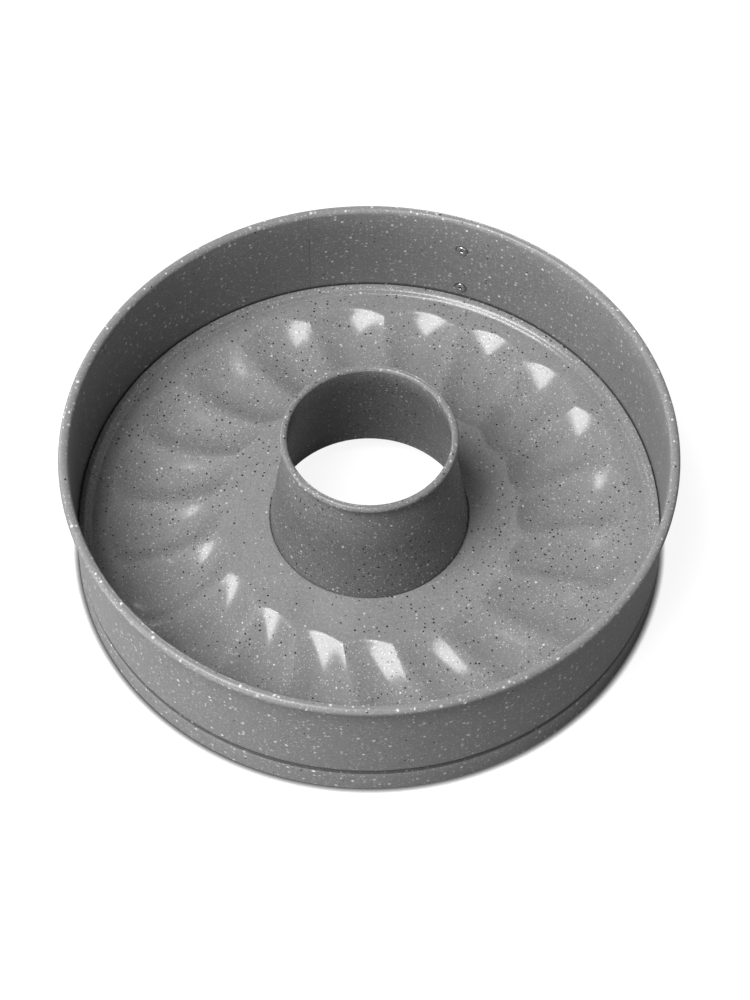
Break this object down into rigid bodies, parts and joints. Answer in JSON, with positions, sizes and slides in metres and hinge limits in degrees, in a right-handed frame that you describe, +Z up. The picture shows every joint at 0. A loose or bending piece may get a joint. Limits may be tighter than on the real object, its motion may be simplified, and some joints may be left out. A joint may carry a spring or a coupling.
{
  "type": "springform ring-cake tin",
  "caption": "Round springform baking tin with a rolled rim, a fluted ring-cake base, a tapered open tube in its middle and a lever latch at the back.",
  "frame": {"origin": "centre of the side ring's foot, on the tin's axis, in the plane that it stands on", "axes": "+Z up along the tin's axis, out of its mouth; the latch is at the back, near +Y"},
  "size_m": [0.269, 0.2731, 0.0759],
  "materials": {
    "speckled_coating": "semi-gloss grey non-stick coating with white and black speckles",
    "plated_steel": "bright zinc plating",
    "coated_rivet": "satin steel"
  },
  "bodies": {
    "tin": {"side_ring": "speckled_coating", "fluted_base": "speckled_coating", "centre_tube": "speckled_coating", "lever_bracket": "plated_steel", "lever_pin": "plated_steel", "hook_plate": "plated_steel", "bracket_rivets": "coated_rivet", "hook_rivets": "plated_steel"},
    "lever": {"latch_lever": "plated_steel"},
    "bail": {"wire_bail": "plated_steel"}
  },
  "joints": [
    {"name": "lever_pivot", "type": "hinge", "parent": "tin", "child": "lever", "pos_m": [0.02869, 0.13498, 0.037], "axis": [0, 0, 1], "range_deg": [0, 150]},
    {"name": "bail_pivot", "type": "hinge", "parent": "lever", "child": "bail", "pos_m": [0.03618, 0.13217, 0.037], "axis": [0, 0, 1], "range_deg": [-150, 0]}
  ],
  "couplings": [
    {"joint": "bail_pivot", "follows": "lever_pivot", "ratio": -1}
  ]
}
